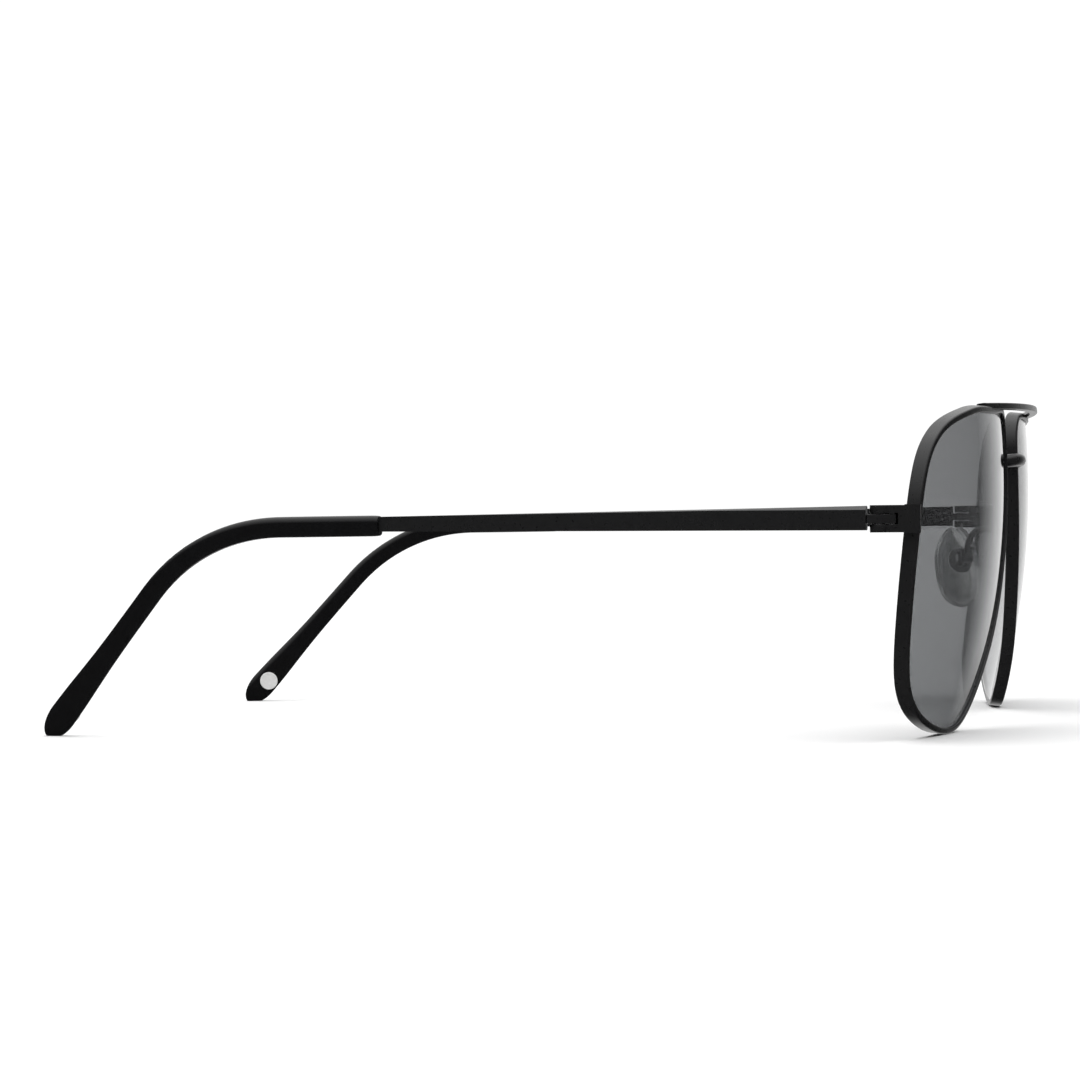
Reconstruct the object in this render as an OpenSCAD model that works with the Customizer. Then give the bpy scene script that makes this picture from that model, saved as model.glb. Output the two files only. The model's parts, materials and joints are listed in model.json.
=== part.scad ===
// Aviator sunglasses standing open on their lens rims and temple tips.
// X runs across the face, the lenses look along -Y, the temples run along +Y, Z is up.
// The left half (+X) is modelled, and the right half is its mirror image.

/* [Lenses] */
// Width of one lens rim
rim_w = 57.8; // [56:0.2:60]
// Height of one lens rim
rim_h = 47.9; // [46:0.1:50]
// Radius of the lens surface
lens_r = 130; // [110:5:160]
// Thickness of a lens
lens_t = 1.5; // [1.3:0.1:1.5]
// Angle that each lens turns back towards the temples
wrap = 7.2; // [6:0.1:9]
// Angle that the top of each lens leans forward
lean = 5.5; // [4:0.1:7]

/* [Rims] */
// Gap between the two rims at the nose
nose_gap = 17.2; // [16:0.2:19]
// Depth of the rim band, front to back
rim_depth = 2; // [1.9:0.1:2.3]
// Wall of the rim band
rim_wall = 0.9; // [0.8:0.05:1]
// How far the rim stands ahead of the lens
rim_lip = 0.5; // [0.4:0.05:0.6]
// Depth of the groove that holds the lens edge
groove = 0.35; // [0.25:0.05:0.4]

/* [Brow bar and bridge] */
// Length of the brow bar
bar_w = 68; // [60:1:72]
// How far the middle of the brow bar stands ahead of its ends
bar_bow = 4.3; // [3.5:0.1:5]
// Thickness of the brow bar
bar_t = 0.95; // [0.8:0.05:1.1]
// Depth of the brow bar, front to back
bar_depth = 1.3; // [1.1:0.1:1.5]
// Diameter of the lower bridge wire
bridge_d = 2; // [1.6:0.1:2.2]

/* [Temples] */
// Width over the two temples at the hinges
front_w = 134.4; // [134:0.2:136]
// Angle that each open temple turns inwards
toe_in = 3.6; // [3:0.1:4.4]
// Further angle that the ear bend turns inwards
tip_turn = 13.4; // [11:0.2:15]
// Straight run of a temple from its front end to the ear bend
straight_run = 84.8; // [80:0.2:90]
// Radius of the ear bend
bend_r = 28; // [25:0.2:32]
// Angle of the ear bend
bend_angle = 48; // [46:0.5:52]
// Thickness of the temple strip
strip_t = 1.2; // [1:0.05:1.3]
// Start of the sleeve, measured from the front end of the temple
sleeve_start = 69.9; // [68:0.1:71]

/* [Hinges] */
// Height of the hinge fork
fork_h = 3.75; // [3.6:0.05:4]
// Thickness of the hinge tongue
tongue_t = 1.2; // [1.1:0.05:1.3]
// Diameter of the hinge screw
hinge_screw_d = 1.2; // [1.1:0.05:1.3]

/* [Nose pads] */
// Length of a nose pad
pad_l = 12.6; // [11:0.2:14]
// Width of a nose pad
pad_w = 6.8; // [6:0.2:8]
// Thickness of a nose pad
pad_t = 1.8; // [1.6:0.1:2]

/* [Hidden] */

metal = [0.06, 0.06, 0.065];
bare_metal = [0.62, 0.63, 0.64];
smoke = [0.3, 0.31, 0.33, 0.6];
acetate = [0.03, 0.03, 0.035];
silicone = [0.85, 0.87, 0.86, 0.5];
badge_white = [0.85, 0.85, 0.84];

// Fineness of the rim outline and of round holes.
outline_steps = 8;
round_fn = 48;
clearance = 0.05;

// Rim outline as fractions of half the rim's width and height, from the temple
// side over the top to the nose side and back along the bottom.
rim_shape = [
    [1.00, -0.15], [0.94, 0.49], [0.71, 0.81], [0.22, 0.95], [-0.3, 0.972], [-0.89, 0.935],
    [-1.00, 0.52], [-0.83, -0.15], [-0.51, -0.61], [-0.08, -0.97], [0.48, -0.94], [0.87, -0.69]
];

// ---- curves ----

// Catmull-Rom curve between b and c, at t from 0 to 1.
function spline_point(a, b, c, d, t) =
    0.5 * (2 * b + (c - a) * t + (2 * a - 5 * b + 4 * c - d) * t * t
        + (3 * b - a - 3 * c + d) * t * t * t);

function closed_spline(points, steps) =
    let (n = len(points))
    [for (i = [0 : n - 1], k = [0 : steps - 1])
        spline_point(points[(i + n - 1) % n], points[i], points[(i + 1) % n], points[(i + 2) % n], k / steps)];

function open_spline(points, steps) =
    let (n = len(points))
    [for (i = [0 : n - 2], k = [0 : steps - 1])
        spline_point(points[max(i - 1, 0)], points[i], points[i + 1], points[min(i + 2, n - 1)], k / steps),
     points[n - 1]];

// Moves each point of a closed counter-clockwise outline inwards by d.
function inset(points, d) =
    let (n = len(points))
    [for (i = [0 : n - 1])
        let (along = points[(i + 1) % n] - points[(i + n - 1) % n], size = norm(along))
        points[i] + d / size * [-along[1], along[0]]];

// ---- placing the front ----

rim_outline = closed_spline([for (p = rim_shape) [p[0] * rim_w / 2, p[1] * rim_h / 2]], outline_steps);

function sag(x, z) = lens_r - sqrt(pow(lens_r + rim_lip, 2) - x * x - z * z);
function lift(p) = p[1] * cos(lean) + sag(p[0], p[1]) * sin(lean);
lens_x = nose_gap / 2 + rim_w / 2 + 0.2;
lens_y = 1.15;
lens_z = -min([for (p = rim_outline) lift(p)]);

// Height of the hinge, and the middle of the temple strip's front end.
hinge_z = 30.9;
strip_x = front_w / 2 - strip_t / 2;
strip_y = 13.9;
temple_slope = 0.35;

// Centre line of the temple, walked in short steps from the strip's front end:
// it runs straight to the ear bend, then turns down and inwards together.
path_step = 1;
path_length = 137;
function turn_down(s) =
    min(max(0, (s - straight_run) * 180 / PI / bend_r), bend_angle);
function heading(s) =
    let (down = temple_slope + turn_down(s), inward = toe_in + tip_turn * turn_down(s) / bend_angle)
    [-cos(down) * sin(inward), cos(down) * cos(inward), -sin(down)];
path_steps = path_length / path_step;
path_points = [for (i = 0, p = [strip_x, strip_y, hinge_z]; i <= path_steps;
    p = p + path_step * heading((i + 0.5) * path_step), i = i + 1) p];
function path_point(s) =
    let (i = min(floor(s / path_step), path_steps - 1))
    path_points[i] + (s / path_step - i) * (path_points[i + 1] - path_points[i]);
function sideways(s) =
    let (inward = toe_in + tip_turn * turn_down(s) / bend_angle) [cos(inward), sin(inward), 0];
function upwards(s) = cross(sideways(s), heading(s));

// Stations along the sleeve: [distance from its start, height, width].
sleeve_stations = [
    [0, 2.7, 2.4], [0.5, 2.95, 2.6], [3, 3, 2.7], [12, 3, 2.7], [21, 2.95, 2.6], [30, 2.9, 2.5],
    [42.6, 2.95, 2.4], [49.6, 3.12, 2.4], [54.2, 3.5, 2.4], [58.7, 4, 2.35], [62.5, 4.25, 2.2]
];
sleeve_squareness = 0.7;
tip_cap = 4.1;
tip_reach = 3.073;
tip_end = sleeve_start + sleeve_stations[len(sleeve_stations) - 1][0];

// Everything is shifted along Y so that the origin is in the middle of the length.
bar_end_y = 0.55;
bar_rise = 0.5;
bar_tilt = asin(bar_rise / bar_bow);
front_end = bar_end_y - bar_bow * cos(bar_tilt);
back_end = path_point(tip_end)[1] + tip_reach;
middle_y = (front_end + back_end) / 2;

module left() {
    translate([0, -middle_y, 0]) children();
}

module right() {
    mirror([1, 0, 0]) left() children();
}

module lens_frame() {
    translate([lens_x, lens_y, lens_z]) rotate([lean, 0, wrap]) children();
}

// The space between two spheres about the lens centre, from ahead of the lens
// surface by front to behind it by back.
module lens_shell(front, back) {
    translate([0, lens_r, 0]) difference() {
        sphere(r = lens_r + front, $fn = 200);
        sphere(r = lens_r - back, $fn = 200);
    }
}

module outline_block(d) {
    rotate([90, 0, 0]) linear_extrude(height = 30, center = true) polygon(inset(rim_outline, d));
}

module band_shape(d) {
    intersection() {
        outline_block(d);
        lens_shell(rim_lip, rim_depth - rim_lip);
    }
}

// ---- front ----

// The groove's two walls, measured back from the lens surface.
groove_front = 0.4;
groove_back = 1.1;

module rim() {
    color(metal) difference() {
        lens_frame() difference() {
            intersection() {
                difference() {
                    outline_block(0);
                    outline_block(rim_wall);
                }
                lens_shell(rim_lip, rim_depth - rim_lip);
            }
            intersection() {
                outline_block(rim_wall - groove);
                lens_shell(-groove_front, groove_back);
            }
        }
        // The band is open behind the closing block.
        translate([front_w / 2 - 5, 0, hinge_z - split_gap / 2]) cube([6, 20, split_gap]);
    }
}

module lens() {
    color(smoke) lens_frame() union() {
        intersection() {
            outline_block(rim_wall);
            lens_shell(0, lens_t);
        }
        intersection() {
            outline_block(rim_wall - groove);
            lens_shell(-groove_front, groove_back);
        }
    }
}

bar_r = (pow(bar_w / 2, 2) + pow(bar_bow, 2)) / (2 * bar_bow);
bar_z = 46.55;

module top_bar() {
    color(metal) translate([0, -middle_y, 0]) difference() {
        translate([0, bar_end_y, bar_z]) rotate([-bar_tilt, 0, 0])
            linear_extrude(height = bar_t) intersection() {
                translate([0, bar_r - bar_bow]) difference() {
                    circle(r = bar_r, $fn = 360);
                    circle(r = bar_r - bar_depth, $fn = 360);
                }
                translate([-bar_w / 2, -10]) square([bar_w, 20]);
            }
        for (side = [0, 1]) mirror([side, 0, 0]) lens_frame() band_shape(0);
    }
}

bridge_half = nose_gap / 2 + 0.3;
bridge_bow = 2.2;
bridge_y = 0.9;
bridge_z = 39.25;
bridge_tilt = 10;

module bridge() {
    wire_r = (pow(bridge_half, 2) + pow(bridge_bow, 2)) / (2 * bridge_bow);
    swing = asin(bridge_half / wire_r);
    color(metal) translate([0, -middle_y, 0]) difference() {
        translate([0, bridge_y, bridge_z]) rotate([-bridge_tilt, 0, 0])
            translate([0, wire_r - bridge_bow, 0]) rotate([0, 0, -90 - swing])
                rotate_extrude(angle = 2 * swing, $fn = 180) translate([wire_r, 0])
                    circle(d = bridge_d, $fn = 24);
        for (side = [0, 1]) mirror([side, 0, 0]) lens_frame() intersection() {
            outline_block(0);
            lens_shell(3, 4);
        }
    }
}

// ---- hinge ----

axis_x = front_w / 2 - 1.5;
axis_y = 12.1;
knuckle_r = 1.45;
slot_h = 1.55;
slot_front = 9.5;
plate_front = 6.5;
plate_back = 8.6;
neck_t = 2;
washer_t = 0.12;

module fork_plan() {
    translate([axis_x, axis_y]) circle(r = knuckle_r, $fn = 64);
    polygon([
        [front_w / 2 - neck_t, plate_back - 0.4], [front_w / 2, plate_back - 0.4],
        [front_w / 2, axis_y - 1.3], [axis_x + 0.6, axis_y], [axis_x - 0.9, axis_y],
        [axis_x - knuckle_r + 0.1, axis_y - 0.5], [front_w / 2 - neck_t, lock_back + 0.05]
    ]);
}

module endpiece() {
    outer = front_w / 2;
    color(metal) difference() {
        union() {
            translate([0, 0, hinge_z - fork_h / 2]) linear_extrude(height = fork_h) fork_plan();
            translate([0, 0, hinge_z - fork_h / 2 - 0.1]) linear_extrude(height = fork_h + 0.2)
                polygon([
                    [outer - 3, plate_front], [outer - 0.55, plate_front], [outer, plate_back - 0.6],
                    [outer, plate_back], [outer - 3, plate_back]
                ]);
        }
        // Slot for the tongue, open to the back and to both sides.
        translate([outer - 8, slot_front, hinge_z - slot_h / 2]) cube([10, 10, slot_h]);
        translate([axis_x, axis_y, hinge_z - 5]) cylinder(d = hinge_screw_d, h = 10, $fn = round_fn);
        translate([axis_x, axis_y, hinge_z + fork_h / 2 - 0.4])
            cylinder(d = hinge_screw_d + 0.8, h = 1, $fn = round_fn);
        lens_frame() outline_block(0);
    }
}

module hinge_screw() {
    top = hinge_z + fork_h / 2;
    color(bare_metal) difference() {
        union() {
            translate([axis_x, axis_y, hinge_z - fork_h / 2])
                cylinder(d = hinge_screw_d, h = fork_h, $fn = round_fn);
            translate([axis_x, axis_y, top - 0.4])
                cylinder(d = hinge_screw_d + 0.8, h = 0.4, $fn = round_fn);
        }
        translate([axis_x - 2, axis_y - 0.12, top - 0.2]) cube([4, 0.24, 1]);
    }
}

module hinge_washers() {
    for (z = [hinge_z - slot_h / 2, hinge_z + slot_h / 2 - washer_t])
        color(bare_metal) translate([axis_x, axis_y, z]) difference() {
            cylinder(r = 1.3, h = washer_t, $fn = round_fn);
            translate([0, 0, -1]) cylinder(d = hinge_screw_d, h = 2, $fn = round_fn);
        }
}

// ---- closing block ----

lock_outer = front_w / 2 - neck_t;
lock_inner = lock_outer - 2;
lock_x = lock_inner + 0.85;
lock_y = 9.45;
lock_back = 10.35;
lock_h = 3.4;
lock_screw_d = 0.8;
split_gap = 0.1;

module rim_lock() {
    color(metal) difference() {
        translate([0, 0, hinge_z - lock_h / 2]) linear_extrude(height = lock_h) polygon([
            [lock_inner, 8.45], [lock_outer, 9.1], [lock_outer, lock_back], [lock_inner, lock_back]
        ]);
        translate([lock_inner - 1, 5, hinge_z - split_gap / 2]) cube([5, 10, split_gap]);
        translate([lock_x, lock_y, hinge_z - 5]) cylinder(d = lock_screw_d, h = 10, $fn = round_fn);
        translate([lock_x, lock_y, hinge_z + lock_h / 2 - 0.3])
            cylinder(d = lock_screw_d + 0.4, h = 1, $fn = round_fn);
        // Room for the tongue's swing.
        translate([tongue_inner - 0.15, slot_front, hinge_z - slot_h / 2]) cube([5, 10, slot_h]);
    }
}

module rim_screw() {
    top = hinge_z + lock_h / 2;
    color(bare_metal) difference() {
        union() {
            translate([lock_x, lock_y, hinge_z - lock_h / 2])
                cylinder(d = lock_screw_d, h = lock_h, $fn = round_fn);
            translate([lock_x, lock_y, top - 0.3])
                cylinder(d = lock_screw_d + 0.4, h = 0.3, $fn = round_fn);
        }
        translate([lock_x - 2, lock_y - 0.1, top - 0.15]) cube([4, 0.2, 1]);
    }
}

// ---- temple ----

module temple_frame() {
    translate([strip_x, strip_y, hinge_z]) rotate([0, 0, toe_in]) children();
}

core_d = 1.1;
core_end = tip_end - 7;
ring_sides = 16;

// One ring round the temple's centre line: squareness 1 gives an oval, and
// smaller values a rounded rectangle.
function path_ring(s, h, w, squareness) =
    [for (k = [0 : ring_sides - 1])
        let (q = 360 * k / ring_sides, c = cos(q), v = sin(q))
        path_point(s) + w / 2 * sign(c) * pow(abs(c), squareness) * sideways(s)
            + h / 2 * sign(v) * pow(abs(v), squareness) * upwards(s)];

module ring_solid(rings) {
    n = len(rings);
    m = len(rings[0]);
    points = [for (ring = rings, p = ring) p];
    sides = [for (i = [0 : n - 2], k = [0 : m - 1])
        [i * m + k, i * m + (k + 1) % m, (i + 1) * m + (k + 1) % m, (i + 1) * m + k]];
    triangles = [for (f = sides, half = [0, 1]) half == 0 ? [f[0], f[1], f[2]] : [f[0], f[2], f[3]]];
    start = [for (k = [m - 1 : -1 : 0]) k];
    finish = [for (k = [0 : m - 1]) (n - 1) * m + k];
    polyhedron(points = points, faces = concat(triangles, [start, finish]), convexity = 6);
}

core_start = sleeve_start - 2;
core_rings = [for (s = [core_start : 2.4 : core_end]) path_ring(s, core_d, core_d, 1)];

// Side views of the strip, [distance along, height]: its outer face, and its
// inner face, which stands taller next to the hinge.
strip_end = sleeve_start + 0.3;
strip_bottom = [[strip_end, -1.25], [52, -1.34], [23, -1.44], [0, -1.56]];
strip_outer_top = [[0, 1.25], [23, 1.31], [52, 1.02], [strip_end, 0.86]];
strip_inner_top = [[0, 1.8], [23, 1.31], [52, 1.02], [strip_end, 0.86]];

// Stands a side view up in the temple's plane, as a slab from one side to the other.
module slab(from, to) {
    translate([from, 0, 0]) rotate([90, 0, 90]) linear_extrude(height = to - from) children();
}

module strip_solid() {
    hull() {
        slab(-strip_t / 2, -strip_t / 2 + 0.05) polygon(concat(strip_inner_top, strip_bottom));
        slab(strip_t / 2 - 0.05, strip_t / 2) polygon(concat(strip_outer_top, strip_bottom));
    }
}

module temple() {
    color(metal) union() {
        temple_frame() strip_solid();
        ring_solid(core_rings);
    }
}

leaf_t = 0.8;
leaf_run = 13;
tongue_front = 9.8;
tongue_inner = axis_x - 1;
tongue_outer = front_w / 2 - 0.05;

module temple_leaf() {
    low = hinge_z - tongue_t / 2;
    color(metal) difference() {
        union() {
            temple_frame() slab(-strip_t / 2 - leaf_t, -strip_t / 2) polygon([
                [0.1, -1.48], [leaf_run, -1.3], [leaf_run, 1.2], [0.1, 1.75]
            ]);
            // The tongue's tip is rounded on the side that swings past the slot's end.
            translate([0, 0, low]) linear_extrude(height = tongue_t) {
                intersection() {
                    translate([tongue_inner, tongue_front])
                        square([tongue_outer - tongue_inner, axis_y - tongue_front + 0.1]);
                    union() {
                        translate([axis_x, axis_y]) circle(r = axis_y - tongue_front, $fn = 64);
                        translate([axis_x, tongue_front]) square([5, 5]);
                    }
                }
                translate([tongue_inner, axis_y])
                    square([tongue_outer - tongue_inner, strip_y - axis_y - 0.1]);
            }
            translate([tongue_inner, axis_y, low]) cube([0.75, strip_y - axis_y + 0.5, tongue_t]);
        }
        translate([axis_x, axis_y, hinge_z - 5])
            cylinder(d = hinge_screw_d + 2 * clearance, h = 10, $fn = round_fn);
        temple_frame() strip_block();
    }
}

// The space that the strip fills, drawn a little large beyond its outer face.
module strip_block() {
    translate([-strip_t / 2, 0, -4]) cube([strip_t + 2, 40, 8]);
}

// ---- sleeve ----

// Rings close over the rounded end.
cap_steps = 7;
sleeve_curve = open_spline(sleeve_stations, 5);
last_station = sleeve_stations[len(sleeve_stations) - 1];
sleeve_rings = concat(
    [for (q = sleeve_curve) path_ring(sleeve_start + q[0], q[1], q[2], sleeve_squareness)],
    [for (k = [1 : cap_steps])
        let (a = 86 * k / cap_steps, shrink = cos(a))
        path_ring(tip_end + tip_cap * sin(a), last_station[1] * shrink,
            last_station[2] * pow(shrink, 0.7), sleeve_squareness)]
);

badge_d = 3;
badge_t = 0.4;
badge_s = tip_end - 1;
badge_low = 0.3;
badge_face = 1.14;

module badge_shape(t) {
    p = path_point(badge_s);
    down = temple_slope + bend_angle;
    translate(p) rotate([0, 0, toe_in + tip_turn]) rotate([-down, 0, 0])
        translate([-badge_face, 0, -badge_low]) rotate([0, 90, 0]) cylinder(d = badge_d, h = t, $fn = round_fn);
}

module temple_tip() {
    color(acetate) difference() {
        ring_solid(sleeve_rings);
        ring_solid(core_rings);
        temple_frame() strip_solid();
        badge_shape(badge_t);
        translate([0, 60, -10]) cube([90, 100, 10]);
    }
}

module tip_badge() {
    color(badge_white) badge_shape(badge_t);
}

// ---- nose pads ----

pad_x = 10.1;
pad_y = 7.45;
pad_z = 23.4;
pad_splay = 28;
pad_flare = 18;
pad_pivot = [1.9, -0.7, 0.9];

// In the pad's own frame +X points away from the nose and Z runs up the pad.
module pad_frame() {
    translate([pad_x, pad_y, pad_z]) rotate([0, -pad_flare, -pad_splay]) children();
}

// Pad outline as fractions of half its width and length, wider at the bottom.
pad_shape = [
    [1, -0.25], [0.82, 0.5], [0, 1], [-0.82, 0.5], [-1, -0.25], [-0.72, -0.8], [0, -1], [0.72, -0.8]
];

module pad_outline() {
    polygon(closed_spline([for (p = pad_shape) [p[0] * pad_w / 2, p[1] * pad_l / 2]], 6));
}

// The pad's screw is at the middle of this frame, and the screw lies along Y.
module pivot_frame() {
    pad_frame() translate(pad_pivot) children();
}

pad_back = pad_t / 2 - pad_pivot[0];
core_disc_d = 3.9;
core_disc_t = 0.4;
pad_screw_d = 0.6;

module core_solid() {
    translate([pad_back - 0.85, 0, 0]) rotate([0, 90, 0])
        cylinder(d = core_disc_d, h = core_disc_t, $fn = round_fn);
    translate([pad_back - 0.5, -0.5, -0.9]) cube([0.7, 1, 1.8]);
}

module nose_pad() {
    dome = 24;
    color(silicone) difference() {
        pad_frame() intersection() {
            rotate([90, 0, 90]) linear_extrude(height = 4, center = true) pad_outline();
            translate([dome - pad_t / 2, 0, 0]) sphere(r = dome, $fn = 300);
            translate([pad_t / 2 - dome, 0, 0]) sphere(r = dome, $fn = 300);
        }
        pivot_frame() core_solid();
    }
}

tab_r = 0.75;

module pad_core() {
    color(bare_metal) pivot_frame() difference() {
        union() {
            core_solid();
            rotate([90, 0, 0]) cylinder(r = tab_r, h = 0.8, center = true, $fn = round_fn);
            translate([pad_back + 0.1, -0.4, -0.6]) cube([-pad_back - 0.1, 0.8, 1.2]);
        }
        rotate([90, 0, 0])
            cylinder(d = pad_screw_d + 2 * clearance, h = 3, center = true, $fn = round_fn);
    }
}

module box_block() {
    translate([-0.65, -0.95, -1]) cube([2.1, 1.9, 2]);
}

module pad_box() {
    color(metal) pivot_frame() difference() {
        box_block();
        translate([-1.5, -0.45, -2]) cube([2.4, 0.9, 4]);
        rotate([90, 0, 0]) cylinder(d = pad_screw_d, h = 3, center = true, $fn = round_fn);
    }
}

module pad_screw() {
    color(bare_metal) pivot_frame() rotate([90, 0, 0]) union() {
        cylinder(d = pad_screw_d, h = 2.1, center = true, $fn = round_fn);
        translate([0, 0, -1.2]) cylinder(d = 1.1, h = 0.25, $fn = round_fn);
    }
}

arm_d = 1;
arm_route = [
    [11.0, 1.5, 28.9], [11.2, 2.8, 29.1], [12.0, 4.0, 28.9], [12.9, 4.9, 28.1], [13.3, 5.3, 27.0],
    [13.2, 5.5, 25.9], [12.9, 5.6, 24.9]
];

// Rings of a round wire along a route in space.
function wire_rings(route, d, sides) =
    let (n = len(route))
    [for (i = [0 : n - 1])
        let (along = route[min(i + 1, n - 1)] - route[max(i - 1, 0)], dir = along / norm(along),
            side = cross([1, 0, 0], dir), u = side / norm(side), v = cross(dir, u))
        [for (k = [0 : sides - 1]) route[i] + d / 2 * (cos(360 * k / sides) * u + sin(360 * k / sides) * v)]];

module pad_arm() {
    color(metal) difference() {
        ring_solid(wire_rings(open_spline(arm_route, 6), arm_d, 12));
        lens_frame() band_shape(-0.5);
        pivot_frame() box_block();
    }
}

top_bar();
bridge();
left() rim();  // left_rim
right() rim();  // right_rim
left() lens();  // left_lens
right() lens();  // right_lens
left() endpiece();  // left_endpiece
right() endpiece();  // right_endpiece
left() rim_lock();  // left_rim_lock
right() rim_lock();  // right_rim_lock
left() rim_screw();  // left_rim_screw
right() rim_screw();  // right_rim_screw
left() hinge_screw();  // left_hinge_screw
right() hinge_screw();  // right_hinge_screw
left() hinge_washers();  // left_hinge_washers
right() hinge_washers();  // right_hinge_washers
left() pad_arm();  // left_pad_arm
right() pad_arm();  // right_pad_arm
left() pad_box();  // left_pad_box
right() pad_box();  // right_pad_box
left() pad_screw();  // left_pad_screw
right() pad_screw();  // right_pad_screw
left() pad_core();  // left_pad_core
right() pad_core();  // right_pad_core
left() nose_pad();  // left_nose_pad
right() nose_pad();  // right_nose_pad
left() temple();  // left_temple
right() temple();  // right_temple
left() temple_leaf();  // left_temple_leaf
right() temple_leaf();  // right_temple_leaf
left() temple_tip();  // left_temple_tip
right() temple_tip();  // right_temple_tip
left() tip_badge();  // left_tip_badge
right() tip_badge();  // right_tip_badge
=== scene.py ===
import json
import math

import bmesh
import bpy
import numpy as np
from mathutils import Matrix, Vector


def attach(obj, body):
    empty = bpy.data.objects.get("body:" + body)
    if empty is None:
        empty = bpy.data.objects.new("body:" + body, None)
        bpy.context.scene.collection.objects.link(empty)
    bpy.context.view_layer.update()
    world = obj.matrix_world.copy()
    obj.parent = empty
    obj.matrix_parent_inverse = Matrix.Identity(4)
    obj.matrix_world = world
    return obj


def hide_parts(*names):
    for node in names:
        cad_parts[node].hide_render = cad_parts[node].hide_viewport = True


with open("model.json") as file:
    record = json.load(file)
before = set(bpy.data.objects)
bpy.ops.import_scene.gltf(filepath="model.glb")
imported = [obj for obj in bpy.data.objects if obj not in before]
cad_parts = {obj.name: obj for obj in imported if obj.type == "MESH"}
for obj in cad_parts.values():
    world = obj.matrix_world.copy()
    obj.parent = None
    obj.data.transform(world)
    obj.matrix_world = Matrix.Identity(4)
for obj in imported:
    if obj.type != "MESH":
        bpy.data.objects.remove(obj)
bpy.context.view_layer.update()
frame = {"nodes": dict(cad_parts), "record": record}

# Sizes are in millimetres, in the frame that the CAD is drawn in: +X is the
# wearer's left, +Y runs to the ear tips, Z is up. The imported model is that
# drawing moved by -MIDDLE_Y along Y.
MM = 0.001
MIDDLE_Y = 66.8131

# ---------------------------------------------------------------- camera
CAMERA_AT = (-589.38, -51.3, 31.61)
YAW, PITCH, ROLL = (math.radians(a) for a in (11.974, -0.351, -0.488))
FOCAL_PX = 3837.2
IMAGE_PX = 1080
SENSOR = 36


def make_camera():
    level = math.cos(PITCH)
    forward = Vector((math.cos(YAW) * level, math.sin(YAW) * level, math.sin(PITCH)))
    flat_right = forward.cross(Vector((0, 0, 1))).normalized()
    flat_up = flat_right.cross(forward)
    right = math.cos(ROLL) * flat_right + math.sin(ROLL) * flat_up
    up = -math.sin(ROLL) * flat_right + math.cos(ROLL) * flat_up
    turn = Matrix((right, up, -forward)).transposed().to_4x4()
    data = bpy.data.cameras.new("camera")
    data.sensor_width = SENSOR
    data.lens = FOCAL_PX / IMAGE_PX * SENSOR
    data.clip_start = 0.01
    data.clip_end = 50
    camera = bpy.data.objects.new("camera", data)
    place = Vector((CAMERA_AT[0], CAMERA_AT[1] - MIDDLE_Y, CAMERA_AT[2])) * MM
    camera.matrix_world = Matrix.Translation(place) @ turn
    bpy.context.scene.collection.objects.link(camera)
    bpy.context.scene.camera = camera


make_camera()

# ---------------------------------------------------------------- sizes shared with the CAD
# Lenses and rims
RIM_W = 57.8
RIM_H = 47.9
RIM_DEPTH = 2.0
RIM_WALL = 0.9
RIM_LIP = 0.5
LENS_R = 130.0
LENS_T = 1.5
LENS_Y = 1.15
WRAP = 7.2
LEAN = 5.5
NOSE_GAP = 17.2
RIM_OFFSET = 0.2
# Rim outline as fractions of half the rim's width and height, from the temple
# side over the top to the nose side and back along the bottom.
RIM_SHAPE = [
    (1.00, -0.15), (0.94, 0.49), (0.71, 0.81), (0.22, 0.95), (-0.3, 0.972), (-0.89, 0.935),
    (-1.00, 0.52), (-0.83, -0.15), (-0.51, -0.61), (-0.08, -0.97), (0.48, -0.94), (0.87, -0.69),
]

# Brow bar and bridge
BAR_W = 68.0
BAR_BOW = 4.3
BAR_RISE = 0.5
BAR_T = 0.95
BAR_DEPTH = 1.3
BAR_Z = 46.55
BAR_END_Y = 0.55
BRIDGE_D = 2.0
BRIDGE_BOW = 2.2
BRIDGE_Y = 0.9
BRIDGE_Z = 39.25
BRIDGE_TILT = 10.0
BRIDGE_OVERLAP = 0.3

# Temples
FRONT_W = 134.4
HINGE_Z = 30.9
STRIP_Y = 13.9
STRIP_T = 1.2
TEMPLE_SLOPE = 0.35
TOE_IN = 3.6
TIP_TURN = 13.4
STRAIGHT_RUN = 84.8
BEND_R = 28.0
BEND_ANGLE = 48.0
PATH_LENGTH = 137

# Ear tips, with stations along the sleeve: (distance from its start, height, width)
SLEEVE_START = 69.9
SLEEVE = [
    (0, 2.7, 2.4), (0.5, 2.95, 2.6), (3, 3, 2.7), (12, 3, 2.7), (21, 2.95, 2.6), (30, 2.9, 2.5),
    (42.6, 2.95, 2.4), (49.6, 3.12, 2.4), (54.2, 3.5, 2.4), (58.7, 4, 2.35), (62.5, 4.25, 2.2),
]
SQUARENESS = 0.7
TIP_CAP = 4.1
TIP_END = SLEEVE_START + SLEEVE[-1][0]

# Nose pads, and the route of a pad arm's wire
PAD_L = 12.6
PAD_W = 6.8
PAD_T = 1.8
PAD_AT = (10.1, 7.45, 23.4)
PAD_FLARE = 18
PAD_SPLAY = 28
PAD_SHAPE = [
    (1, -0.25), (0.82, 0.5), (0, 1), (-0.82, 0.5), (-1, -0.25), (-0.72, -0.8), (0, -1), (0.72, -0.8),
]
ARM_ROUTE = [
    (11.0, 1.5, 28.9), (11.2, 2.8, 29.1), (12.0, 4.0, 28.9), (12.9, 4.9, 28.1), (13.3, 5.3, 27.0),
    (13.2, 5.5, 25.9), (12.9, 5.6, 24.9),
]
ARM_D = 1.0


# ---------------------------------------------------------------- curves and turns
def spline_point(a, b, c, d, t):
    """Catmull-Rom curve between b and c, at t from 0 to 1."""
    square = (2 * a - 5 * b + 4 * c - d) * t * t
    return 0.5 * (2 * b + (c - a) * t + square + (3 * b - a - 3 * c + d) * t ** 3)


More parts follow.
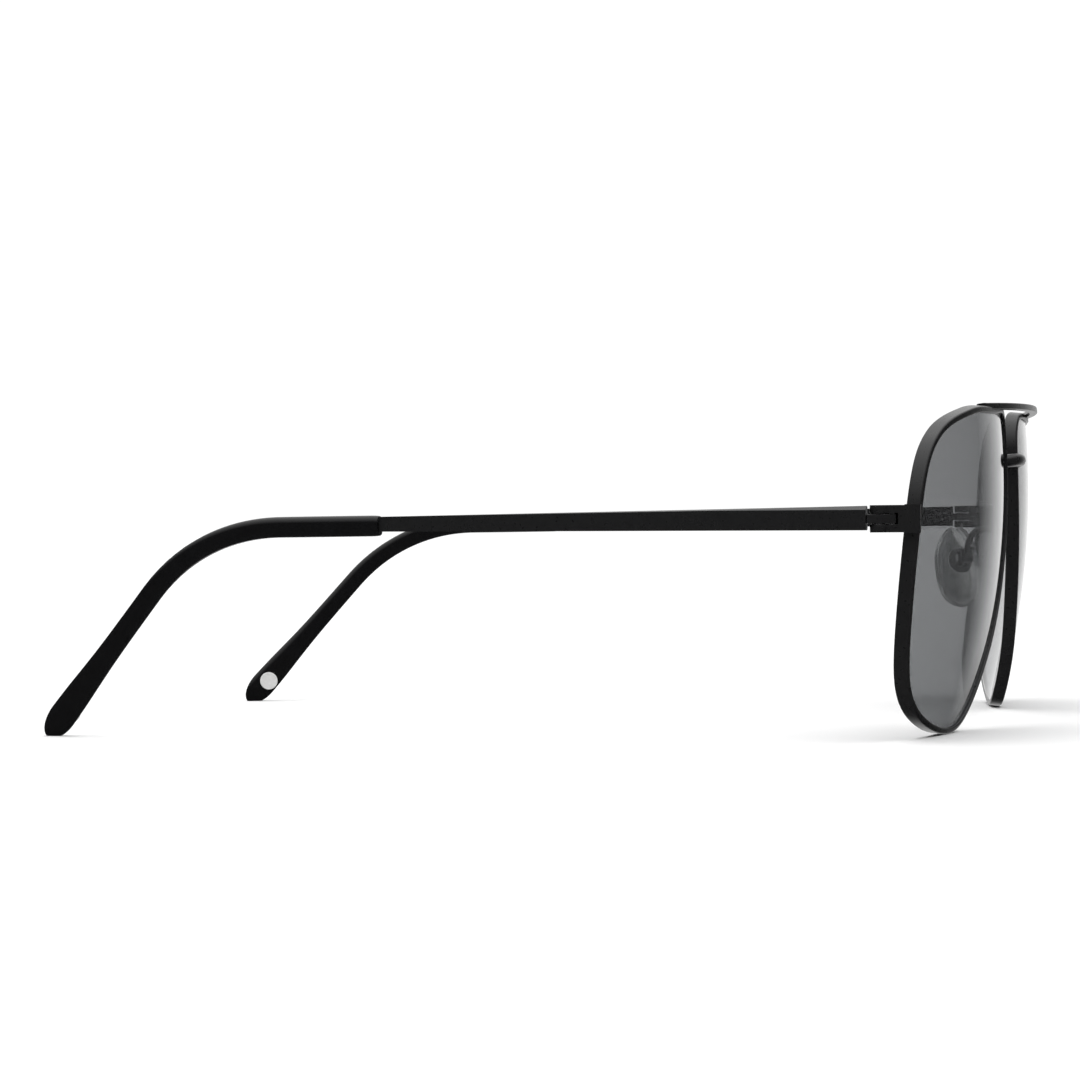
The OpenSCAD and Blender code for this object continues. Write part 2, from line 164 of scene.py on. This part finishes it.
def spline(points, steps, closed):
    p = np.array(points, float)
    n = len(p)
    out = []
    for i in range(n if closed else n - 1):
        q = [p[(i + k) % n] if closed else p[min(max(i + k, 0), n - 1)] for k in (-1, 0, 1, 2)]
        out += [spline_point(*q, k / steps) for k in range(steps)]
    if not closed:
        out.append(p[-1])
    return np.array(out)


def inset(points, d):
    """Moves each point of a closed counter-clockwise outline inwards by d."""
    along = np.roll(points, -1, 0) - np.roll(points, 1, 0)
    along /= np.linalg.norm(along, axis=1)[:, None]
    return points + d * np.stack([-along[:, 1], along[:, 0]], 1)


def turned(points, x=0.0, y=0.0, z=0.0):
    """Points turned about X, then Y, then Z, by angles in degrees."""
    m = Matrix.Rotation(math.radians(z), 3, "Z") @ Matrix.Rotation(math.radians(y), 3, "Y")
    m = m @ Matrix.Rotation(math.radians(x), 3, "X")
    return np.asarray(points, float) @ np.array(m).T


def ring_of(middle, across, other, radius, sides):
    """Points of a circle round a middle, in the plane of two unit directions."""
    angles = np.linspace(0, 2 * math.pi, sides, endpoint=False)
    return np.array([middle + radius * (math.cos(a) * across + math.sin(a) * other) for a in angles])


# ---------------------------------------------------------------- where the lens stands
# The CAD's rim outline has half as many points, and its lowest one meets the table.
RIM_LINE = spline([(p[0] * RIM_W / 2, p[1] * RIM_H / 2) for p in RIM_SHAPE], 16, True)
CAD_LINE = RIM_LINE[::2]


def lens_height():
    lean = math.radians(LEAN)
    sag = LENS_R - np.sqrt((LENS_R + RIM_LIP) ** 2 - (CAD_LINE ** 2).sum(1))
    return -min(CAD_LINE[:, 1] * math.cos(lean) + sag * math.sin(lean))


LENS_AT = (NOSE_GAP / 2 + RIM_W / 2 + RIM_OFFSET, LENS_Y, lens_height())


def on_lens(flat, depth):
    """Points of a flat outline laid at a depth behind the lens's front surface."""
    y = LENS_R - np.sqrt((LENS_R - depth) ** 2 - (flat ** 2).sum(1))
    local = np.stack([flat[:, 0], y, flat[:, 1]], 1)
    return turned(local, x=LEAN, z=WRAP) + LENS_AT


# ---------------------------------------------------------------- the temple's centre line
def turn_down(s):
    """How far the ear bend has turned, in degrees, at a distance along the temple."""
    return min(max(0.0, (s - STRAIGHT_RUN) * 180 / math.pi / BEND_R), BEND_ANGLE)


def turn_in(s):
    return math.radians(TOE_IN + TIP_TURN * turn_down(s) / BEND_ANGLE)


def heading(s):
    down = math.radians(TEMPLE_SLOPE + turn_down(s))
    inward = turn_in(s)
    return np.array([-math.cos(down) * math.sin(inward), math.cos(down) * math.cos(inward), -math.sin(down)])


def walk_path():
    """The centre line from the strip's front end, in steps of 1 mm."""
    path = [np.array([FRONT_W / 2 - STRIP_T / 2, STRIP_Y, HINGE_Z])]
    for i in range(PATH_LENGTH):
        path.append(path[-1] + heading(i + 0.5))
    return path


PATH = walk_path()


def path_point(s):
    i = min(int(s), len(PATH) - 2)
    return PATH[i] + (s - i) * (PATH[i + 1] - PATH[i])


def path_frame(s):
    """The directions outwards and upwards, square to the centre line."""
    side = np.array([math.cos(turn_in(s)), math.sin(turn_in(s)), 0.0])
    return side, np.cross(side, heading(s))


# ---------------------------------------------------------------- materials
# Noise scales are per metre, and bump heights are in metres.
def new_material(name):
    """A material, its node tree and its shader."""
    m = bpy.data.materials.new(name)
    m.use_nodes = True
    return m, m.node_tree, m.node_tree.nodes["Principled BSDF"]


def noise(tree, scale, detail=2.0):
    coords = tree.nodes.new("ShaderNodeTexCoord")
    n = tree.nodes.new("ShaderNodeTexNoise")
    n.inputs["Scale"].default_value = scale
    n.inputs["Detail"].default_value = detail
    tree.links.new(coords.outputs["Object"], n.inputs["Vector"])
    return n.outputs["Fac"]


def spread(tree, value, low, high, start=0.3, end=0.7):
    """The value's range from start to end, stretched to low to high."""
    r = tree.nodes.new("ShaderNodeMapRange")
    r.inputs["From Min"].default_value = start
    r.inputs["From Max"].default_value = end
    r.inputs["To Min"].default_value = low
    r.inputs["To Max"].default_value = high
    tree.links.new(value, r.inputs["Value"])
    return r.outputs["Result"]


def add_colour(tree, shader, scale, dark, light, detail=2.0):
    ramp = tree.nodes.new("ShaderNodeValToRGB")
    ramp.color_ramp.elements[0].position = 0.3
    ramp.color_ramp.elements[0].color = (*dark, 1)
    ramp.color_ramp.elements[1].position = 0.7
    ramp.color_ramp.elements[1].color = (*light, 1)
    tree.links.new(noise(tree, scale, detail), ramp.inputs["Fac"])
    tree.links.new(ramp.outputs["Color"], shader.inputs["Base Color"])


def add_roughness(tree, shader, scale, low, high):
    tree.links.new(spread(tree, noise(tree, scale), low, high), shader.inputs["Roughness"])


def add_bump(tree, shader, scale, height, strength, detail=2.0):
    b = tree.nodes.new("ShaderNodeBump")
    b.inputs["Strength"].default_value = strength
    b.inputs["Distance"].default_value = height
    tree.links.new(noise(tree, scale, detail), b.inputs["Height"])
    tree.links.new(b.outputs["Normal"], shader.inputs["Normal"])


def black_metal():
    m, tree, shader = new_material("black_metal")
    add_colour(tree, shader, 900, (0.0125, 0.0125, 0.013), (0.0145, 0.0145, 0.015))
    add_roughness(tree, shader, 1500, 0.27, 0.30)
    add_bump(tree, shader, 600, 0.000002, 0.1, detail=1)
    shader.inputs["IOR"].default_value = 1.4
    return m


def bare_metal():
    m, tree, shader = new_material("bare_metal")
    add_colour(tree, shader, 2500, (0.42, 0.43, 0.44), (0.6, 0.6, 0.61))
    add_roughness(tree, shader, 5000, 0.22, 0.38)
    add_bump(tree, shader, 14000, 0.000004, 0.5, detail=3)
    shader.inputs["Metallic"].default_value = 1.0
    return m


def smoke_glass():
    m, tree, shader = new_material("smoke_glass")
    add_colour(tree, shader, 25, (0.175, 0.18, 0.185), (0.19, 0.195, 0.20), detail=1)
    shader.inputs["Transmission Weight"].default_value = 1.0
    shader.inputs["Roughness"].default_value = 0.0
    shader.inputs["IOR"].default_value = 1.35
    return m


def gloss_black():
    m, tree, shader = new_material("gloss_black")
    add_colour(tree, shader, 400, (0.006, 0.006, 0.0063), (0.007, 0.007, 0.0075))
    add_roughness(tree, shader, 1200, 0.07, 0.13)
    add_bump(tree, shader, 350, 0.00001, 0.2, detail=1)
    shader.inputs["IOR"].default_value = 1.35
    return m


def clear_silicone():
    m, tree, shader = new_material("clear_silicone")
    add_colour(tree, shader, 500, (0.86, 0.87, 0.86), (0.95, 0.95, 0.94))
    add_roughness(tree, shader, 2500, 0.12, 0.22)
    add_bump(tree, shader, 1800, 0.00002, 0.3)
    shader.inputs["Transmission Weight"].default_value = 1.0
    shader.inputs["IOR"].default_value = 1.41
    return m


def white_enamel():
    m, tree, shader = new_material("white_enamel")
    add_colour(tree, shader, 1500, (0.72, 0.72, 0.71), (0.8, 0.8, 0.79))
    add_roughness(tree, shader, 4000, 0.3, 0.42)
    add_bump(tree, shader, 5000, 0.000006, 0.4)
    return m


FINISH = {
    "frame_metal": black_metal(),
    "bare_metal": bare_metal(),
    "smoke_lens": smoke_glass(),
    "tip_plastic": gloss_black(),
    "pad_silicone": clear_silicone(),
    "badge_plastic": white_enamel(),
}


# ---------------------------------------------------------------- making pieces
def weighted(o):
    """Shades a smooth piece by the size of its faces."""
    w = o.modifiers.new("weighted", "WEIGHTED_NORMAL")
    w.keep_sharp = True
    w.weight = 60


def piece(name, points, faces, body, slot, node):
    """A mesh piece that takes a CAD node's place, from points in the CAD's drawing."""
    placed = (np.array(points, float) - (0, MIDDLE_Y, 0)) * MM
    data = bpy.data.meshes.new(name)
    data.from_pydata(placed.tolist(), [], [tuple(int(i) for i in f) for f in faces])
    data.validate()
    solid = bmesh.new()
    solid.from_mesh(data)
    bmesh.ops.recalc_face_normals(solid, faces=solid.faces)
    solid.to_mesh(data)
    solid.free()
    data.shade_smooth()
    data.materials.append(FINISH[slot])
    o = bpy.data.objects.new(name, data)
    bpy.context.scene.collection.objects.link(o)
    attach(o, body)
    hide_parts(node)
    weighted(o)


def both(name, points, faces, body, slot, node):
    """The piece on the left and its mirror image on the right; SIDE in body is either."""
    mirrored = np.array(points, float) * (-1, 1, 1)
    reversed_faces = [tuple(reversed(f)) for f in faces]
    for side, p, f in (("left", points, faces), ("right", mirrored, reversed_faces)):
        piece(f"{side}_{name}", p, f, body.replace("SIDE", side), slot, f"{side}_{node}")


def ring_faces(n, m, closed=False):
    """Faces between n rings of m points each, and round to the first ring if closed."""
    faces = []
    for i in range(n if closed else n - 1):
        j = (i + 1) % n
        faces += [(i * m + k, i * m + (k + 1) % m, j * m + (k + 1) % m, j * m + k) for k in range(m)]
    return faces


def tube(rings):
    """Points and faces of a tube through rings, closed at both ends by flat caps."""
    n, m = len(rings), len(rings[0])
    start = tuple(range(m - 1, -1, -1))
    end = tuple((n - 1) * m + k for k in range(m))
    return np.concatenate(rings), ring_faces(n, m) + [start, end]


def rounded_box(w, h, r, steps=4):
    """Outline of a box w by h with round corners, about its middle, counter-clockwise."""
    out = []
    for cx, cy, start in ((1, 1, 0), (-1, 1, 90), (-1, -1, 180), (1, -1, 270)):
        for k in range(steps + 1):
            a = math.radians(start + 90 * k / steps)
            out.append((cx * (w / 2 - r) + r * math.cos(a), cy * (h / 2 - r) + r * math.sin(a)))
    return np.array(out)


def bowed(chord, bow, stations):
    """Radius of an arc over a chord, and the directions out to its stations."""
    radius = ((chord / 2) ** 2 + bow ** 2) / (2 * bow)
    swing = math.asin(chord / 2 / radius)
    angles = [swing * (2 * i / (stations - 1) - 1) for i in range(stations)]
    return radius, [np.array([math.sin(a), -math.cos(a), 0]) for a in angles]


# ---------------------------------------------------------------- rims and lenses
RIM_CORNER = 0.26
LENS_SEAT = 0.2
# Rings of the lens from its edge inwards, as shares of its outline.
LENS_RINGS = [1, 0.985, 0.96, 0.92, 0.86, 0.79, 0.71, 0.62, 0.53, 0.44, 0.35, 0.26, 0.17, 0.08]


def make_rims():
    section = rounded_box(RIM_WALL, RIM_DEPTH, RIM_CORNER) + (RIM_WALL / 2, RIM_DEPTH / 2)
    loops = [on_lens(inset(RIM_LINE, inward), depth - RIM_LIP) for inward, depth in section]
    points = np.stack(loops, 1).reshape(-1, 3)
    both("rim_band", points, ring_faces(len(RIM_LINE), len(section), True), "front", "frame_metal", "rim")


def make_lenses():
    edge = inset(RIM_LINE, RIM_WALL - LENS_SEAT)
    n = len(edge)
    front = [on_lens(edge * share, 0.0) for share in LENS_RINGS]
    back = [on_lens(edge * share, LENS_T) for share in LENS_RINGS]
    loops = back[::-1] + front
    middles = [on_lens(np.zeros((1, 2)), depth) for depth in (0.0, LENS_T)]
    points = np.concatenate(loops + middles)
    front_middle, back_middle = len(points) - 2, len(points) - 1
    last = (len(loops) - 1) * n
    faces = [tuple(reversed(f)) for f in ring_faces(len(loops), n)]
    faces += [(last + (k + 1) % n, last + k, front_middle) for k in range(n)]
    faces += [(k, (k + 1) % n, back_middle) for k in range(n)]
    both("lens_glass", points, faces, "front", "smoke_lens", "lens")


# ---------------------------------------------------------------- brow bar and bridge
BAR_CORNER = 0.2
BAR_STATIONS = 65
BRIDGE_STATIONS = 33
BRIDGE_SIDES = 28
UP = np.array([0, 0, 1])


def make_bar():
    radius, directions = bowed(BAR_W, BAR_BOW, BAR_STATIONS)
    tilt = math.degrees(math.asin(BAR_RISE / BAR_BOW))
    section = rounded_box(BAR_DEPTH, BAR_T, BAR_CORNER)
    rings = []
    for out in directions:
        middle = np.array([0, radius - BAR_BOW, BAR_T / 2]) + (radius - BAR_DEPTH / 2) * out
        ring = [middle + deep * out + high * UP for deep, high in section]
        rings.append(turned(ring, x=-tilt) + (0, BAR_END_Y, BAR_Z))
    points, faces = tube(rings)
    piece("brow_bar", points, faces, "front", "frame_metal", "top_bar")


def make_bridge():
    radius, directions = bowed(NOSE_GAP + 2 * BRIDGE_OVERLAP, BRIDGE_BOW, BRIDGE_STATIONS)
    rings = []
    for out in directions:
        middle = np.array([0, radius - BRIDGE_BOW, 0]) + radius * out
        ring = ring_of(middle, out, UP, BRIDGE_D / 2, BRIDGE_SIDES)
        rings.append(turned(ring, x=-BRIDGE_TILT) + (0, BRIDGE_Y, BRIDGE_Z))
    points, faces = tube(rings)
    piece("bridge_wire", points, faces, "front", "frame_metal", "bridge")


# ---------------------------------------------------------------- ear tips
TIP_SIDES = 40
CAP_STEPS = 12
CAP_SWEEP = 87
CAP_TAPER = 0.7


def oval(s, h, w):
    """A ring round the sleeve, between an oval and a rounded rectangle."""
    side, up = path_frame(s)
    ring = []
    for k in range(TIP_SIDES):
        a = 2 * math.pi * k / TIP_SIDES
        across = w / 2 * math.copysign(abs(math.cos(a)) ** SQUARENESS, math.cos(a))
        above = h / 2 * math.copysign(abs(math.sin(a)) ** SQUARENESS, math.sin(a))
        ring.append(path_point(s) + across * side + above * up)
    return np.array(ring)


def make_tips():
    rings = [oval(SLEEVE_START + s, h, w) for s, h, w in spline(SLEEVE, 8, False)]
    end_h, end_w = SLEEVE[-1][1:]
    for k in range(1, CAP_STEPS + 1):
        a = math.radians(CAP_SWEEP * k / CAP_STEPS)
        h, w = end_h * math.cos(a), end_w * math.cos(a) ** CAP_TAPER
        rings.append(oval(TIP_END + TIP_CAP * math.sin(a), h, w))
    points, faces = tube(rings)
    points[:, 2] = np.maximum(points[:, 2], 0)
    both("ear_tip", points, faces, "SIDE_arm", "tip_plastic", "temple_tip")


# ---------------------------------------------------------------- the round inlay in each tip
BADGE_AT = TIP_END - 1
BADGE_R = 1.5
BADGE_T = 0.5
BADGE_FACE = 1.26
BADGE_LOW = 0.3
BADGE_SIDES = 48
# Radius and height of a turned disc: a raised edge round a dished middle.
BADGE_PROFILE = [
    (BADGE_R - 0.04, 0), (BADGE_R, 0.06), (BADGE_R, BADGE_T - 0.06), (BADGE_R - 0.06, BADGE_T),
    (BADGE_R - 0.24, BADGE_T), (BADGE_R - 0.3, BADGE_T - 0.05), (0.7, BADGE_T - 0.03), (0.05, BADGE_T - 0.02),
]


def make_badges():
    side, up = path_frame(BADGE_AT)
    along = heading(BADGE_AT)
    back = path_point(BADGE_AT) - BADGE_LOW * up - (BADGE_FACE - BADGE_T) * side
    rings = [ring_of(back - h * side, up, along, r, BADGE_SIDES) for r, h in BADGE_PROFILE]
    points, faces = tube(rings)
    both("tip_inlay", points, faces, "SIDE_arm", "badge_plastic", "tip_badge")


# ---------------------------------------------------------------- nose pads
PAD_LAYERS = 14
PAD_CROWN = 0.45
PAD_FACE_SHARE = 0.12
PAD_HOLLOW = 0.25
PAD_SHIFT = 0.1
ARM_SIDES = 20


def pad_place(points):
    return turned(points, y=-PAD_FLARE, z=-PAD_SPLAY) + PAD_AT


def make_pads():
    line = spline([(p[0] * PAD_W / 2, p[1] * PAD_L / 2) for p in PAD_SHAPE], 8, True)
    rings = []
    for k in range(PAD_LAYERS + 1):
        a = math.pi * (k / PAD_LAYERS) - math.pi / 2
        share = math.cos(a) ** PAD_CROWN if 0 < k < PAD_LAYERS else PAD_FACE_SHARE
        across, high = (line * share).T
        deep = PAD_T / 2 * math.sin(a) + PAD_HOLLOW * (high / (PAD_L / 2)) ** 2 - PAD_SHIFT
        rings.append(pad_place(np.stack([deep, across, high], 1)))
    points, faces = tube(rings)
    both("soft_pad", points, faces, "SIDE_pad", "pad_silicone", "nose_pad")


def make_arms():
    route = spline(ARM_ROUTE, 10, False)
    rings = []
    for i, middle in enumerate(route):
        along = route[min(i + 1, len(route) - 1)] - route[max(i - 1, 0)]
        along /= np.linalg.norm(along)
        side = np.cross((1, 0, 0), along)
        side /= np.linalg.norm(side)
        rings.append(ring_of(middle, side, np.cross(along, side), ARM_D / 2, ARM_SIDES))
    points, faces = tube(rings)
    both("arm_wire", points, faces, "front", "frame_metal", "pad_arm")


make_rims()
make_lenses()
make_bar()
make_bridge()
make_tips()
make_badges()
make_pads()
make_arms()

# ---------------------------------------------------------------- CAD nodes: their finish and softened edges
SLOT_OF = {s["node"]: s["material_slot"] for s in frame["record"]["subparts"]}
EDGE = {
    "endpiece": 0.14, "rim_lock": 0.1, "rim_screw": 0.04, "hinge_screw": 0.05, "hinge_washers": 0.02,
    "pad_box": 0.1, "pad_screw": 0.04, "pad_core": 0.05, "temple": 0.12, "temple_leaf": 0.1,
}
WELD = 0.002
EDGE_ANGLE = 35


def finish_node(name):
    o = frame["nodes"][name]
    o.data.materials.clear()
    o.data.materials.append(FINISH[SLOT_OF[name]])
    kind = name.split("_", 1)[-1]
    if kind not in EDGE:
        return
    weld = o.modifiers.new("weld", "WELD")
    weld.merge_threshold = WELD * MM
    bevel = o.modifiers.new("bevel", "BEVEL")
    bevel.width = EDGE[kind] * MM
    bevel.segments = 2
    bevel.limit_method = "ANGLE"
    bevel.angle_limit = math.radians(EDGE_ANGLE)
    weighted(o)


for node_name in frame["nodes"]:
    finish_node(node_name)

# ---------------------------------------------------------------- stage, in metres
FLOOR_HALF = 6.0
FLOOR_DROP = 0.00001
FLOOR_TONE = 0.97
# World strength: what the camera sees, what lights the shadows, and the top and far glows.
SEEN = 1.05
DIMMEST = 0.02
TOP_GLOW = 1.85
FAR_GLOW = 1.0
FAR_AZIMUTH = math.radians(15)
SOFTBOX_AT = (0.1, 0.0, 1.2)
SOFTBOX_AIM = (0, 0, 0.02)
SOFTBOX_SIZE = 1.2
SOFTBOX_POWER = 1


def make_floor():
    r = FLOOR_HALF
    data = bpy.data.meshes.new("floor")
    data.from_pydata([(-r, -r, 0), (r, -r, 0), (r, r, 0), (-r, r, 0)], [], [(0, 1, 2, 3)])
    material, _, shader = new_material("pale_floor")
    shader.inputs["Base Color"].default_value = (FLOOR_TONE, FLOOR_TONE, FLOOR_TONE, 1)
    shader.inputs["Roughness"].default_value = 1.0
    shader.inputs["Specular IOR Level"].default_value = 0.0
    data.materials.append(material)
    floor = bpy.data.objects.new("floor", data)
    floor.location.z = -FLOOR_DROP
    # The lenses would otherwise mirror the floor's edge.
    floor.visible_glossy = False
    bpy.context.scene.collection.objects.link(floor)


def math_node(tree, operation, first, second):
    """Joins two values, of which the second may be a plain number."""
    n = tree.nodes.new("ShaderNodeMath")
    n.operation = operation
    tree.links.new(first, n.inputs[0])
    if isinstance(second, float):
        n.inputs[1].default_value = second
    else:
        tree.links.new(second, n.inputs[1])
    return n.outputs[0]


def room_glow(tree):
    """Light that grows towards the top of the room and towards its far side."""
    coords = tree.nodes.new("ShaderNodeTexCoord").outputs["Generated"]
    split = tree.nodes.new("ShaderNodeSeparateXYZ")
    tree.links.new(coords, split.inputs["Vector"])
    top = spread(tree, split.outputs["Z"], 0.0, TOP_GLOW, 0.3, 0.9)
    facing = tree.nodes.new("ShaderNodeVectorMath")
    facing.operation = "DOT_PRODUCT"
    facing.inputs[1].default_value = (math.cos(FAR_AZIMUTH), math.sin(FAR_AZIMUTH), 0)
    tree.links.new(coords, facing.inputs[0])
    far = spread(tree, facing.outputs["Value"], 0.0, FAR_GLOW, 0.8, 0.95)
    return math_node(tree, "ADD", math_node(tree, "ADD", top, far), DIMMEST)


def make_world():
    world = bpy.data.worlds.new("studio")
    bpy.context.scene.world = world
    world.use_nodes = True
    tree = world.node_tree
    background = tree.nodes["Background"]
    background.inputs["Color"].default_value = (1, 1, 1, 1)
    path = tree.nodes.new("ShaderNodeLightPath")
    seen = math_node(tree, "MAXIMUM", path.outputs["Is Camera Ray"], path.outputs["Is Transmission Ray"])
    mix = tree.nodes.new("ShaderNodeMix")
    tree.links.new(seen, mix.inputs["Factor"])
    tree.links.new(room_glow(tree), mix.inputs["A"])
    mix.inputs["B"].default_value = SEEN
    tree.links.new(mix.outputs["Result"], background.inputs["Strength"])


def make_softbox():
    light = bpy.data.lights.new("top_softbox", "AREA")
    light.size = SOFTBOX_SIZE
    light.energy = SOFTBOX_POWER
    softbox = bpy.data.objects.new("top_softbox", light)
    softbox.location = SOFTBOX_AT
    aim = Vector(SOFTBOX_AIM) - Vector(SOFTBOX_AT)
    softbox.rotation_euler = aim.to_track_quat("-Z", "Y").to_euler()
    bpy.context.scene.collection.objects.link(softbox)


make_floor()
make_world()
make_softbox()
bpy.context.scene.view_settings.view_transform = "Standard"
bpy.context.scene.cycles.max_bounces = 16
bpy.context.scene.cycles.transmission_bounces = 12
